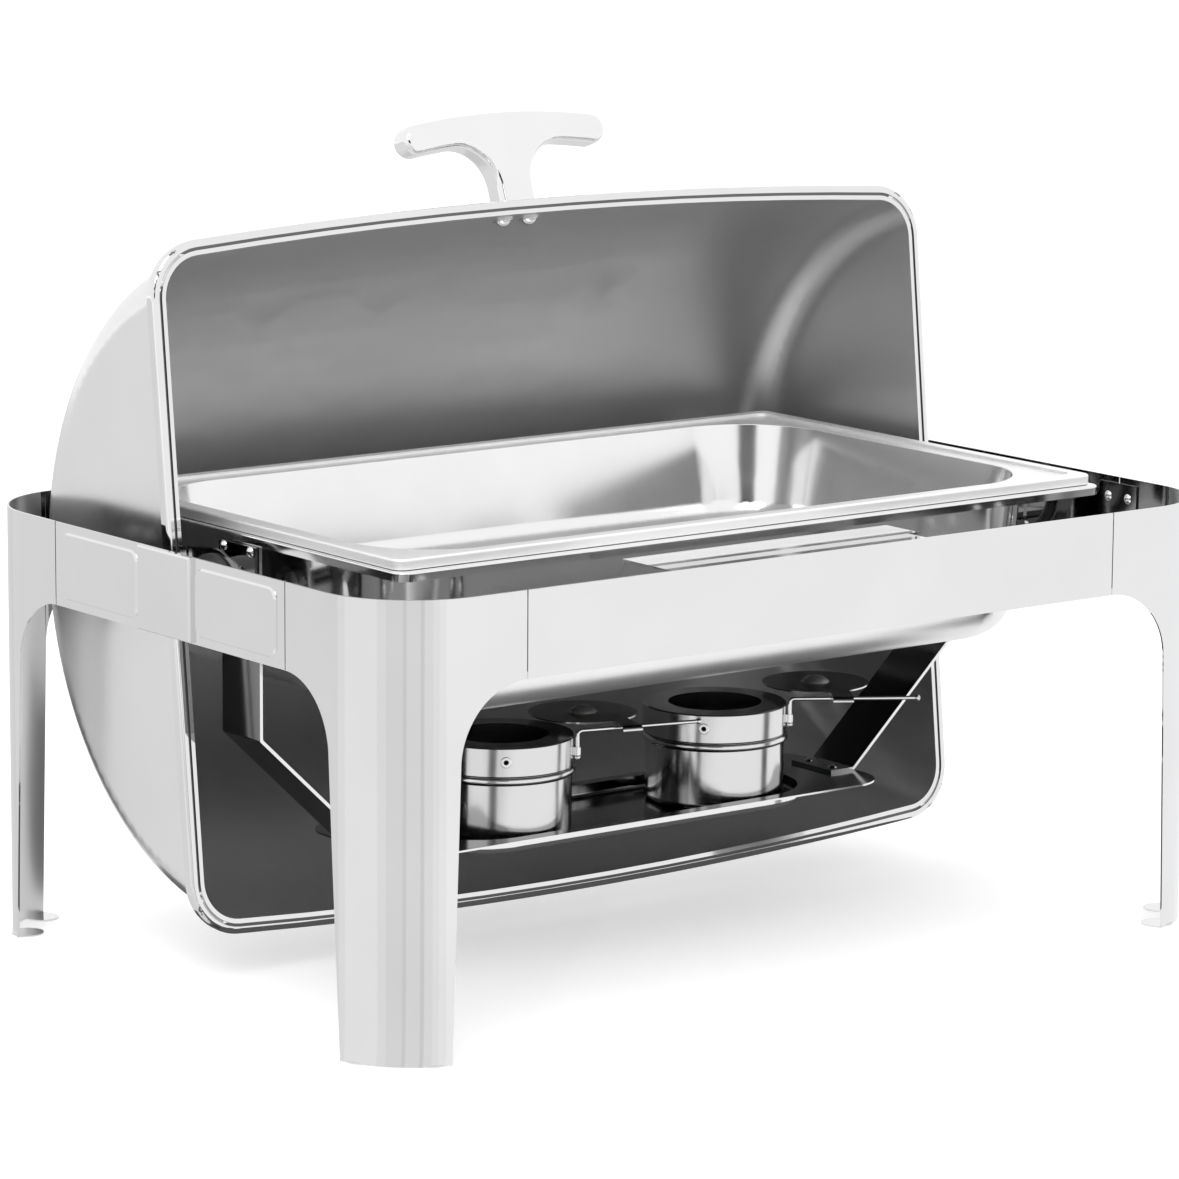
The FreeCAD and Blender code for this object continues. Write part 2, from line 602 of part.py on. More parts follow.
def make_food_pan():
    low = RIM_SEAT_Z + FIT
    top = low + PAN_RIM_H
    ledge = top - PAN_STEP
    well_x = PAN_X - PAN_RIM_W
    well_y = PAN_Y - PAN_RIM_W
    step_x = PAN_X - PAN_EDGE_W
    step_y = PAN_Y - PAN_EDGE_W
    corner = PAN_CORNER_R
    plate = rounded_prism(PAN_X, PAN_Y, corner, low, top, PAN_PLACE)
    edge = [e for e in plate.Edges if e.BoundBox.ZMin > top - 0.01]
    plate = plate.makeFillet(1.5, edge)
    tray = rounded_prism(step_x, step_y, corner, ledge, top + 3.0, PAN_PLACE)
    inner_edge = [e for e in tray.Edges if e.BoundBox.ZMax < ledge + 0.01]
    tray = tray.makeFillet(1.0, inner_edge)
    raised = rounded_prism(PAN_X - PAN_SHEET, PAN_Y - PAN_SHEET, corner - PAN_SHEET,
                           low - 1.0, top - PAN_SHEET, PAN_PLACE)
    under_ledge = rounded_prism(step_x + PAN_SHEET, step_y + PAN_SHEET, corner + PAN_SHEET,
                                ledge - PAN_SHEET, top, PAN_PLACE)
    rim = plate.cut(tray).cut(raised.cut(under_ledge))
    outer_r = 60.0
    depth = PAN_DEPTH - PAN_STEP
    skin = well(well_x + PAN_SHEET, well_y + PAN_SHEET, outer_r, ledge, depth, 12.0, 17.0,
                PAN_PLACE)
    hollow = well(well_x, well_y, outer_r - PAN_SHEET, ledge + 1.0, depth + 0.2, 12.0, 16.2,
                  PAN_PLACE)
    pan = joined(rim, skin).cut(hollow)
    lip = [e for e in pan.Edges if abs(e.BoundBox.ZMin - ledge) < 0.01
           and abs(e.BoundBox.ZMax - ledge) < 0.01 and abs(e.BoundBox.Center.x) < PAN_X
           and on_well_edge(e, well_x, well_y)]
    return pan.makeFillet(0.6, lip)


def make_water_pan():
    top = RIM_SEAT_Z
    rim_x = PAN_X + WATER_OUT_X
    rim_y = PAN_Y + WATER_OUT_Y
    corner = PAN_CORNER_R + 3.0
    t = 1.0
    well_x = PAN_X - PAN_RIM_W + 4.0
    well_y = PAN_Y - PAN_RIM_W + 4.0
    plate = rounded_prism(rim_x, rim_y, corner, top - WATER_LIP, top, PAN_PLACE)
    edge = [e for e in plate.Edges if e.BoundBox.ZMin > top - 0.01]
    plate = plate.makeFillet(1.2, edge)
    under = rounded_prism(rim_x - t, rim_y - t, corner - t, top - WATER_LIP - 1, top - t,
                          PAN_PLACE)
    skin = well(well_x + t, well_y + t, 64.0, top, WATER_DEPTH, 6.0, 26.0, PAN_PLACE)
    hollow = well(well_x, well_y, 63.0, top + 1.0, WATER_DEPTH, 6.0, 25.0, PAN_PLACE)
    return joined(plate.cut(under), skin).cut(hollow)


# ---- burners ------------------------------------------------------------------------------
def revolved(points):
    """Solid of revolution about Z from points given as (radius, height)."""
    face = polygon_face([vec(r, 0, z) for r, z in points])
    return face.revolve(vec(0, 0, 0), Z, 360)


def make_burner_cup():
    """Lower cup with its rolled bead, about the origin."""
    t = BURNER_SHEET
    body = cylinder(vec(0, 0, 0), Z, CUP_R, CUP_H + 2.0)
    foot = [e for e in body.Edges if e.BoundBox.ZMax < 0.01]
    body = body.makeFillet(4.0, foot)
    bead = Part.makeTorus(BAND_R - BEAD_R + 1.0, BEAD_R, vec(0, 0, CUP_H + BEAD_R))
    hollow = cylinder(vec(0, 0, t), Z, CUP_R - t, 60)
    low = [e for e in hollow.Edges if e.BoundBox.ZMax < t + 0.01]
    hollow = hollow.makeFillet(3.2, low)
    return joined(body, bead).cut(hollow)


def make_burner_cap(eyelet_angle):
    """Upper band with its ring top, about the origin; its spigot drops inside the cup."""
    t = BURNER_SHEET
    z0 = CUP_H + 2.0 * BEAD_R + FIT
    spigot_r = CUP_R - t - FIT
    cap = revolved([
        (spigot_r - t, z0 - 6.0),
        (spigot_r, z0 - 6.0),
        (spigot_r, z0),
        (BAND_R, z0),
        (BAND_R, BURNER_H - 0.8),
        (BAND_R - 0.8, BURNER_H),
        (BURNER_HOLE_R, BURNER_H),
        (BURNER_HOLE_R, BURNER_H - t),
        (BAND_R - 2.0 * t, BURNER_H - t),
        (BAND_R - 2.0 * t, z0 + t),
        (spigot_r - t, z0 + t),
    ])
    hole = cylinder(vec(BAND_R - 4.0, 0, z0 + 9.0), X, 1.6, 8.0)
    hole = turned(hole, vec(0, 0, 0), Z, eyelet_angle)
    return cap.cut(hole)


def make_eyelet(eyelet_angle):
    """Ring rivet round the air hole in the band."""
    z = CUP_H + 2.0 * BEAD_R + FIT + 9.0
    ring = cylinder(vec(BAND_R - 0.4, 0, z), X, 3.4, 1.0)
    outer = [e for e in ring.Edges if e.BoundBox.XMin > BAND_R + 0.5 and e.BoundBox.XLength < 0.01]
    ring = ring.makeFillet(0.5, outer)
    ring = ring.cut(cylinder(vec(BAND_R - 4.0, 0, z), X, 1.6, 9.0))
    ring = ring.cut(cylinder(vec(0, 0, 0), Z, BAND_R, 90))
    return turned(ring, vec(0, 0, 0), Z, eyelet_angle)


def make_eye(pivot_angle):
    """Small tube on the band that carries the snuffer rod."""
    z0 = BURNER_H - EYE_DROP
    tube = cylinder(vec(PIVOT_ARM, 0, z0), Z, EYE_R, EYE_H)
    web = box(BAND_R - 0.6, PIVOT_ARM, -1.2, 1.2, z0, z0 + EYE_H)
    eye = joined(tube, web).cut(cylinder(vec(0, 0, 0), Z, BAND_R, 90))
    eye = eye.cut(cylinder(vec(PIVOT_ARM, 0, z0 - 1), Z, ROD_R + RUN, 30))
    return turned(eye, vec(0, 0, 0), Z, pivot_angle)


def make_rod():
    """Snuffer rod about its upright end: peened foot, upright, bend and level arm."""
    bend = 3.0
    foot = ROD_LIFT + EYE_DROP + 0.9
    k = bend * (1.0 - math.sqrt(0.5))
    path = Part.Wire([
        Part.LineSegment(vec(0, 0, -foot), vec(0, 0, -bend)).toShape(),
        Part.Arc(vec(0, 0, -bend), vec(k, 0, -k), vec(bend, 0, 0)).toShape(),
        Part.LineSegment(vec(bend, 0, 0), vec(ROD_LENGTH, 0, 0)).toShape(),
    ])
    section = Part.Wire(Part.makeCircle(ROD_R, vec(0, 0, -foot), Z))
    rod = path.makePipeShell([section], True, True)
    tip = Part.makeSphere(1.9, vec(ROD_LENGTH, 0, 0))
    peen = Part.makeSphere(1.9, vec(0, 0, -foot - 0.6))
    return joined(rod, tip, peen)


def make_disc():
    """Snuffer disc with its neck, which lies over the level arm of the rod and curls down."""
    t = 1.0
    across = 21.0
    behind = math.sqrt(PIVOT_ARM * PIVOT_ARM - across * across)
    lift = ROD_R + 0.1
    half_neck = 6.5
    neck_x = across + 12.0
    ahead = 6.5
    curl = 2.0
    disc = cylinder(vec(across, behind, lift), Z, DISC_R, t)
    x0 = neck_x - half_neck
    width = 2.0 * half_neck
    strip = box(x0, x0 + width, -ahead, behind - DISC_R + 6.0, lift, lift + t)
    end = cylinder(vec(x0, -ahead, lift - curl), X, curl + t, width)
    end = end.cut(cylinder(vec(x0, -ahead, lift - curl), X, curl, width))
    end = end.common(box(x0, x0 + width, -ahead - 9.0, -ahead, lift - curl, lift + t))
    knuckle = cylinder(vec(neck_x - 2.5, 0, 0), X, lift + t, 5.0)
    knuckle = knuckle.cut(cylinder(vec(neck_x - 2.5, 0, 0), X, lift, 5.0))
    return joined(disc, strip, end, knuckle), vec(across, behind, lift + t)


# ---- assembly -----------------------------------------------------------------------------
def frame_nodes():
    leg = make_leg()
    nodes = {
        "leg_back_right": leg,
        "leg_back_left": leg.mirror(vec(0, 0, 0), X),
        "leg_front_right": leg.mirror(vec(0, 0, 0), Y),
        "leg_front_left": leg.mirror(vec(0, 0, 0), X).mirror(vec(0, 0, 0), Y),
        "front_panel": make_long_panel(-1),
        "back_panel": make_long_panel(1),
    }
    side = make_side_panel()
    cover = make_pivot_cover()
    for name, sign in SIDES:
        nodes["side_panel_" + name] = side if sign > 0 else mirrored_x(side)
        nodes["pivot_cover_" + name] = cover if sign > 0 else mirrored_x(cover)
    nodes["splice_plates"], nodes["splice_rivets"] = make_splices()
    nodes["lid_rest"], nodes["lid_rest_rivets"] = make_lid_rest()
    nodes["front_panel"] = nodes["front_panel"].cut(nodes["lid_rest_rivets"])
    return nodes


def hanging_nodes():
    pivot = make_pivot()
    tray, tray_rivets = make_tray()
    right_rivets = [r for r in tray_rivets if r.BoundBox.XMin > 0]
    hanger = make_hanger(pivot["screws"] + right_rivets)
    nodes = {"burner_tray": tray, "tray_rivets": group(tray_rivets)}
    for name, sign in SIDES:
        for piece, shape in (("pivot_hub_", pivot["hub"]), ("hub_flange_", pivot["flange"]),
                             ("pivot_stud_", pivot["stud"]), ("hanger_", hanger)):
            nodes[piece + name] = shape if sign > 0 else mirrored_x(shape)
    for name, shapes in (("pivot_nuts", [pivot["nut"]]), ("pivot_washers", [pivot["washer"]]),
                         ("hub_screws", pivot["screws"])):
        nodes[name] = group(shapes + [mirrored_x(s) for s in shapes])
    return nodes


def lid_nodes():
    ear, rivets = make_ear()
    bush = make_bush()
    handle = make_handle()
    both = rivets + [mirrored_x(r) for r in rivets]
    shell = make_lid_shell().cut(both + [handle["handle_screws"], handle["handle_washers"]])
    nodes = {"lid_shell": shell, "ear_rivets": group(both)}
    nodes.update(handle)
    for name, sign in SIDES:
        nodes["lid_ear_" + name] = ear if sign > 0 else mirrored_x(ear)
        nodes["lid_bush_" + name] = bush if sign > 0 else mirrored_x(bush)
    return {name: opened(shape) for name, shape in nodes.items()}


def burner_nodes():
    nodes = {}
    rod = make_rod()
    disc, middle = make_disc()
    knob = dome_head(middle, Z, 9.0, 4.5)
    for name, burner_x, eyelet_angle, rod_angle in BURNERS:
        place = (burner_x, 0, BURNER_Z)
        for piece, shape in (("burner_cup_", make_burner_cup()),
                             ("burner_cap_", make_burner_cap(eyelet_angle)),
                             ("burner_eyelet_", make_eyelet(eyelet_angle)),
                             ("snuffer_eye_", make_eye(SNUFFER_ANGLE))):
            nodes[piece + name] = moved(shape, *place)
        px = burner_x + PIVOT_ARM * math.cos(math.radians(SNUFFER_ANGLE))
        py = PIVOT_ARM * math.sin(math.radians(SNUFFER_ANGLE))
        for piece, shape in (("snuffer_rod_", rod), ("snuffer_disc_", disc),
                             ("snuffer_knob_", knob)):
            swung = turned(shape, vec(0, 0, 0), Z, rod_angle)
            nodes[piece + name] = moved(swung, px, py, ROD_Z)
    return nodes


def main():
    nodes = {}
    nodes.update(frame_nodes())
    nodes.update(hanging_nodes())
    nodes.update(lid_nodes())
    nodes["water_pan"] = make_water_pan()
    nodes["food_pan"] = make_food_pan()
    nodes.update(burner_nodes())
    os.makedirs("parts", exist_ok=True)
    for name, shape in nodes.items():
        if not shape.isValid():
            print("not valid:", name)
        print(name, len(shape.Solids), round(shape.Volume / 1000.0, 2), "cm3")
        shape.exportStep(os.path.join("parts", name + ".step"))


main()
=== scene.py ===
import json
import math

import bpy
from mathutils import Matrix, Vector


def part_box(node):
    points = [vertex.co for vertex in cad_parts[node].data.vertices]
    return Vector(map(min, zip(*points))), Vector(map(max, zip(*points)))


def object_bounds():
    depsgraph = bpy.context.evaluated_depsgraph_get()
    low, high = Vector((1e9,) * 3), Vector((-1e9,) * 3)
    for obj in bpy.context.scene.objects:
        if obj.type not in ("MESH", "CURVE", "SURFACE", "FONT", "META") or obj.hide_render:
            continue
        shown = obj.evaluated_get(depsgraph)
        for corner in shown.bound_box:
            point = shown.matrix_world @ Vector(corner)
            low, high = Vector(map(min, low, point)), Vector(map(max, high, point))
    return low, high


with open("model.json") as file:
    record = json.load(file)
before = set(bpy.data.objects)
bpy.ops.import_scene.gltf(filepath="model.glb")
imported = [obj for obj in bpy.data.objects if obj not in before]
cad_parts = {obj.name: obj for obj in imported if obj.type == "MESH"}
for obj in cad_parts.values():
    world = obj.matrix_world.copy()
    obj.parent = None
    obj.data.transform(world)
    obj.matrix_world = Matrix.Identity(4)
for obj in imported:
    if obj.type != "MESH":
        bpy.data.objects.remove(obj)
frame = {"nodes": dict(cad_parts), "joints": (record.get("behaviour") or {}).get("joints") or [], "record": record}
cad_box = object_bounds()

# Looks for the roll-top chafing dish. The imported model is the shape: this script smooths its pieces,
# gives each face its finish, and sets the floor, the light and the camera. Lengths are in metres and
# angles in radians, unless a name says otherwise.

NODES = frame["nodes"]

# ---- camera --------------------------------------------------------------------------------
CAMERA_AT = Vector((-1.9915, -2.6036, 0.8192))
CAMERA_YAW = 0.6505          # turned from the object's back towards its right
CAMERA_PITCH = 0.1834        # tilted down
CAMERA_ROLL = 0.0066
CAMERA_CLIP = 100.0
LENS_MM = 164.232
SENSOR_MM = 36.0

# ---- the object's own places ---------------------------------------------------------------
FRAME_HALF = (0.320, 0.222)  # outside of the frame in plan
FRAME_CORNER = 0.060
BAND_FROM = 0.214            # the frame's inner faces are painted dark as shade above this height; the legs' inner faces are satin below it
PAN_RIM_FROM = 0.2738        # the food pan's rim, above this, is rougher than its well and painted lighter as a highlight
LID_CORNER = 0.026           # radius between the lid's barrel and its end walls
LID_END_R = 0.200            # outside radius of the barrel at its ends
LID_BOW = 0.011              # how much more it is in the middle
LID_SHEET = 0.0008
LID_RIM = 0.0312             # the rim's plane, from the lid axis
LID_OPEN_DEG = 96.1          # turn between the closed lid and the one shown
BEAD_FROM = 0.0007           # the rolled rim stands out from the lid's skin by more than this
GROOVE = (0.0016, 0.0038)    # groove in the face of the rolled rim, out from the skin
GROOVE_DEPTH = 0.0011
RIM_FACE = 0.0002            # the rim's own face lies within this of its plane
SHARP_DEG = 28.0             # edges sharper than this are not smoothed
WELD = 0.00001
NORMAL_WEIGHT = 100
STRAIGHT = 0.9               # least cosine for a face turned straight along an axis
MOSTLY = 0.5                 # least cosine for a face turned mostly along an axis

# ---- finishes: noise is counted in periods per metre -----------------------------------------
CLOUDS = 14.0
GRAIN = 900.0
MARKS = 60.0
WAVES = 4.0
SPECKS = 700.0
NOISE_LOW = 0.3              # noise stays mostly between these two
NOISE_HIGH = 0.7
BUMP_STRENGTH = 0.2
TINT = 0.02                  # share by which the steel's tone strays
ALONG_X = (0.05, 1, 1)       # grain drawn out along x
ALONG_Z = (1, 1, 0.05)
ROUND = (1, 1, 1)
NYLON_DARK = (0.03, 0.03, 0.032)
NYLON_LIGHT = (0.055, 0.055, 0.057)
MIX_FIRST = 6                # colour sockets of Blender's Mix node
MIX_SECOND = 7
MIX_RESULT = 2

# ---- floor and light -----------------------------------------------------------------------
FLOOR_SIDE = 30.0            # half of it
FLOOR_GREY = 0.9
FLOOR_ROUGH = 0.7
FLOOR_GLOW = 0.30            # the floor glows a little, so that its shadows stay pale
WORLD_GLOW = 1.05
KEY_AT = Vector((-1.6, -1.4, 2.4))
KEY_TARGET = Vector((0.0, 0.0, 0.2))
KEY_SIDE = 1.8
KEY_WATTS = 25.0
CARD_SIDE = 8.0              # half of the card that covers the floor
CARD_LEVEL = 0.0004          # the cards on the floor lie one above the other
CARD_TONE = 1.04
SECTOR_LEVEL = 0.0006
SECTOR_REACH = 7.0
SECTOR_STEPS = 6
UNDER_LEVEL = 0.0008
UNDER_INSET = 0.03
UNDER_SHADE_TONE = 0.10
ROOM_AWAY = 3.0              # dark card that stands by the camera
ROOM_HALF = 0.65
ROOM_LOW = 0.75
ROOM_HIGH = 2.2
ROOM_TONE = 0.05

# Bands mirrored in the round corner of the front left leg: name, start and end in degrees round the
# corner from the front towards the left, and tone.
LEG_SECTORS = (
    ("pale", 17.0, 21.0, 0.98),
    ("soft", 21.0, 24.5, 0.93),
    ("step", 24.5, 29.2, 0.87),
    ("line", 29.2, 31.4, 0.74),
    ("middle", 31.4, 39.0, 0.84),
    ("crease", 39.0, 41.0, 0.74),
    ("dark", 41.0, 50.0, 0.82),
    ("dark_side", 50.0, 55.0, 0.88),
    ("light", 55.0, 75.0, 0.95),
    ("edge", 75.0, 80.0, 0.89),
    ("side", 80.0, 106.0, 0.82),
    ("back", 106.0, 136.0, 0.76),
)


# ---- materials -----------------------------------------------------------------------------
class Graph:
    """A new material, with helpers that add and link its shader nodes."""

    def __init__(self, name):
        self.material = bpy.data.materials.new(name)
        self.material.use_nodes = True
        self.tree = self.material.node_tree
        self.shader = self.tree.nodes["Principled BSDF"]
        self.coords = self.tree.nodes.new("ShaderNodeTexCoord")

    def add(self, kind, **values):
        node = self.tree.nodes.new("ShaderNode" + kind)
        for key, value in values.items():
            if key in node.inputs:
                node.inputs[key].default_value = value
            else:
                setattr(node, key, value)
        return node

    def link(self, source, target):
        self.tree.links.new(source, target)

    def feed(self, source, socket):
        self.link(source, self.shader.inputs[socket])

    def noise(self, scale, stretch=ROUND, detail=3.0, rough=0.5):
        place = self.add("Mapping", Scale=stretch)
        self.link(self.coords.outputs["Object"], place.inputs["Vector"])
        node = self.add("TexNoise", Scale=scale, Detail=detail, Roughness=rough)
        self.link(place.outputs["Vector"], node.inputs["Vector"])
        return node.outputs["Fac"]

    def ramp(self, value, start, end, low, high, kind="LINEAR"):
        """Value that turns from low to high as the given one goes from start to end."""
        node = self.add("MapRange", interpolation_type=kind)
        node.inputs["From Min"].default_value = start
        node.inputs["From Max"].default_value = end
        node.inputs["To Min"].default_value = low
        node.inputs["To Max"].default_value = high
        self.link(value, node.inputs["Value"])
        return node.outputs["Result"]

    def spread(self, noise, low, high):
        return self.ramp(noise, NOISE_LOW, NOISE_HIGH, low, high)

    def slope(self, start, end, low, high):
        """Value that turns from low to high as the upward part of the normal goes from start to end."""
        parts = self.add("SeparateXYZ")
        self.link(self.add("NewGeometry").outputs["Normal"], parts.inputs[0])
        return self.ramp(parts.outputs["Z"], start, end, low, high, "SMOOTHSTEP")

    def blend(self, factor, low, high):
        node = self.add("Mix", data_type="RGBA")
        self.link(factor, node.inputs["Factor"])
        node.inputs[MIX_FIRST].default_value = (*low, 1.0)
        node.inputs[MIX_SECOND].default_value = (*high, 1.0)
        return node.outputs[MIX_RESULT]

    def combine(self, operation, first, second):
        node = self.add("Math", operation=operation)
        self.link(first, node.inputs[0])
        self.link(second, node.inputs[1])
        return node.outputs[0]

    def scaled(self, colour, factor):
        node = self.add("VectorMath", operation="SCALE")
        self.link(colour, node.inputs[0])
        self.link(factor, node.inputs["Scale"])
        return node.outputs["Vector"]

    def bump(self, height, distance, below=None):
        node = self.add("Bump", Strength=BUMP_STRENGTH, Distance=distance)
        self.link(height, node.inputs["Height"])
        if below is not None:
            self.link(below, node.inputs["Normal"])
        return node.outputs["Normal"]


def steel(name, tone, rough, grain_depth, grain=ROUND, wave_depth=0.0, mottle=0.05):
    """Stainless steel: polished or satin, with fine grain, sheet waviness and handling marks."""
    g = Graph(name)
    g.shader.inputs["Metallic"].default_value = 1.0
    clouds = g.noise(CLOUDS, detail=4.0)
    lines = g.noise(GRAIN, grain, detail=2.0)
    marks = g.noise(MARKS, detail=6.0, rough=0.65)
    waves = g.noise(WAVES, detail=0.0)
    dark = (tone * (1.0 - TINT),) * 3
    light = (min(1.0, tone * (1.0 + TINT)),) * 3
    g.colour = g.blend(g.spread(clouds, 0.0, 1.0), dark, light)
    g.rough = g.combine("ADD", g.spread(marks, rough * (1.0 - mottle), rough * (1.0 + mottle)),
                        g.spread(lines, 0.0, rough * mottle))
    g.feed(g.colour, "Base Color")
    g.feed(g.rough, "Roughness")
    g.feed(g.bump(lines, grain_depth, g.bump(waves, wave_depth)), "Normal")
    return g


def pan_steel(name):
    """Satin steel that is smoother on its drawn walls than on its level faces."""
    g = steel(name, tone=0.86, rough=0.16, grain_depth=0.000002, grain=ALONG_X)
    level = g.slope(start=0.4, end=0.9, low=1.0, high=2.2)
    g.feed(g.combine("MULTIPLY", g.rough, level), "Roughness")
    return g


def water_pan_steel(name):
    """Bright drawn steel: rougher where it turns under, with painted shade that darkens its bottom."""
    g = steel(name, tone=0.84, rough=0.11, grain_depth=0.000002, grain=ALONG_X)
    # painted shade: the bottom's tone is darkened to stand in for the shade under the pan
    shade_below = g.slope(start=-0.99, end=-0.93, low=0.20, high=1.0)
    turn = g.slope(start=-0.5, end=-0.05, low=3.0, high=1.0)
    g.feed(g.scaled(g.colour, shade_below), "Base Color")
    g.feed(g.combine("MULTIPLY", g.rough, turn), "Roughness")
    return g


def nylon(name):
    """Black nylon with a fine speckle."""
    g = Graph(name)
    specks = g.noise(SPECKS, detail=4.0)
    g.feed(g.blend(g.spread(specks, 0.0, 1.0), NYLON_DARK, NYLON_LIGHT), "Base Color")
    g.feed(g.spread(specks, 0.42, 0.58), "Roughness")
    g.feed(g.bump(specks, 0.0001), "Normal")
    return g


MIRROR = steel("mirror_steel", tone=0.78, rough=0.05, grain_depth=0.000002, wave_depth=0.00004)
# painted shade: dark steel on the frame's inner faces in the band and on the splice plates, standing in for the
# shade inside the frame
FRAME_INSIDE_SHADE = steel("frame_inside_painted_shade", tone=0.24, rough=0.06, grain_depth=0.000002,
                     wave_depth=0.00008)
LEG_INSIDE = steel("leg_inside_steel", tone=0.74, rough=0.30, grain_depth=0.000004, grain=ALONG_Z)
LID_OUTSIDE = steel("lid_outside_steel", tone=0.80, rough=0.22, grain_depth=0.000004,
                    grain=ALONG_X, wave_depth=0.00008)
LID_INSIDE = steel("lid_inside_steel", tone=0.58, rough=0.42, grain_depth=0.000004, grain=ALONG_X)
# painted shade: dark steel in the groove of the lid's rolled rim
LID_GROOVE_SHADE = steel("lid_groove_painted_shade", tone=0.16, rough=0.40, grain_depth=0.000004)
# painted shade: the hangers' and burner tray's steel is darkened to stand in for the dark that their polished
# faces mirror
STRAP_SHADE = steel("strap_steel", tone=0.22, rough=0.12, grain_depth=0.000004, grain=ALONG_Z,
              wave_depth=0.00005)
PAN = pan_steel("pan_steel")
# partly a rougher finish, partly a painted highlight: the rim's tone is raised above the pan's to stand in for
# light from above
PAN_RIM = steel("pan_rim_painted_highlight", tone=0.97, rough=0.50, grain_depth=0.000002, grain=ALONG_X)
WATER_PAN = water_pan_steel("water_pan_steel")
SPUN = steel("spun_steel", tone=0.72, rough=0.14, grain_depth=0.000006, grain=ALONG_Z, mottle=0.2)
# painted highlight: the knobs' raised tone stands in for their bright highlights; their roughness is the finish
KNOB = steel("knob_painted_highlight", tone=0.95, rough=0.45, grain_depth=0.000002)
# painted shade: near-black steel standing in for the shaded pan underside that the burner caps' tops and the
# snuffer discs mirror
PAINTED_SHADE = steel("painted_shade_steel", tone=0.13, rough=0.16, grain_depth=0.000004, mottle=0.2)
# fastener finish, also laid on the hangers' and burner tray's edges as a painted highlight
FASTENER_AND_HIGHLIGHT = steel("fastener_steel", tone=0.82, rough=0.12, grain_depth=0.000004)
CAST = steel("handle_cast", tone=0.85, rough=0.07, grain_depth=0.000003, wave_depth=0.0002)
NYLON = nylon("bush_nylon")

BY_NODE = {
    "water_pan": WATER_PAN,
    "splice_plates": FRAME_INSIDE_SHADE,
    "snuffer_knob_left": KNOB,
    "snuffer_knob_right": KNOB,
}
BY_SLOT = {
    "polished_steel": MIRROR,
    "strap_steel": STRAP_SHADE,
    "pan_steel": PAN,
    "burner_steel": SPUN,
    "fastener_steel": FASTENER_AND_HIGHLIGHT,
    "handle_cast": CAST,
    "bush_nylon": NYLON,
}


# ---- finishes on the pieces ------------------------------------------------------------------
def finish_nodes():
    """Smooth shading and a finish on every CAD node."""
    slots = {row["node"]: row["material_slot"] for row in frame["record"]["subparts"]}
    for name, node in NODES.items():
        finish = BY_NODE.get(name, BY_SLOT[slots[name]])
        node.data.materials.clear()
        node.data.materials.append(finish.material)
        for face in node.data.polygons:
            face.use_smooth = True
        weld = node.modifiers.new("weld", "WELD")
        weld.merge_threshold = WELD
        edges = node.modifiers.new("edges", "EDGE_SPLIT")
        edges.split_angle = math.radians(SHARP_DEG)
        weighted = node.modifiers.new("weighted", "WEIGHTED_NORMAL")
        weighted.weight = NORMAL_WEIGHT
        weighted.keep_sharp = True


def outward_in_plan(x, y):
    """Direction straight out of the frame's outline at a place on it."""
    past_x = abs(x) - FRAME_HALF[0] + FRAME_CORNER
    past_y = abs(y) - FRAME_HALF[1] + FRAME_CORNER
    if past_x > 0.0 and past_y > 0.0:
        return Vector((math.copysign(past_x, x), math.copysign(past_y, y), 0.0)).normalized()
    if past_x > past_y:
        return Vector((math.copysign(1.0, x), 0.0, 0.0))
    return Vector((0.0, math.copysign(1.0, y), 0.0))


def faces_in(face):
    return face.normal.dot(outward_in_plan(face.center.x, face.center.y)) < -MOSTLY


def second_finish(name, finish, test):
    """Give the faces of a node that pass a test a finish of their own."""
    data = NODES[name].data
    data.materials.append(finish.material)
    index = len(data.materials) - 1
    for face in data.polygons:
        if test(face):
            face.material_index = index


def finish_faces():
    """Faces that differ from the rest of their piece: the frame's inner side, painted dark as shade in the band
    and satin down the legs, the food pan's rim, rougher and painted lighter as a highlight, sheet edges painted
    bright as highlights, and the burner caps' tops and snuffer discs painted dark as mirrored shade."""
    for name in NODES:
        if name.startswith("leg_") or name.endswith("_panel") or name.startswith("side_panel_"):
            # painted shade on the inner faces above the band
            second_finish(name, FRAME_INSIDE_SHADE,
                          lambda face: faces_in(face) and face.center.z > BAND_FROM)
            second_finish(name, LEG_INSIDE,
                          lambda face: faces_in(face) and face.center.z <= BAND_FROM)
    second_finish("food_pan", PAN_RIM, lambda face: face.center.z > PAN_RIM_FROM)
    # painted highlight on the burner tray's front faces
    second_finish("burner_tray", FASTENER_AND_HIGHLIGHT, lambda face: face.normal.y < -MOSTLY)
    for side in ("left", "right"):
        # painted highlight on the hangers' edge faces
        second_finish("hanger_" + side, FASTENER_AND_HIGHLIGHT, lambda face: abs(face.normal.y) > STRAIGHT)
        # painted shade on the burner caps' tops and the snuffer discs
        second_finish("burner_cap_" + side, PAINTED_SHADE, lambda face: face.normal.z > STRAIGHT)
        second_finish("snuffer_disc_" + side, PAINTED_SHADE, lambda face: abs(face.normal.z) > MOSTLY)


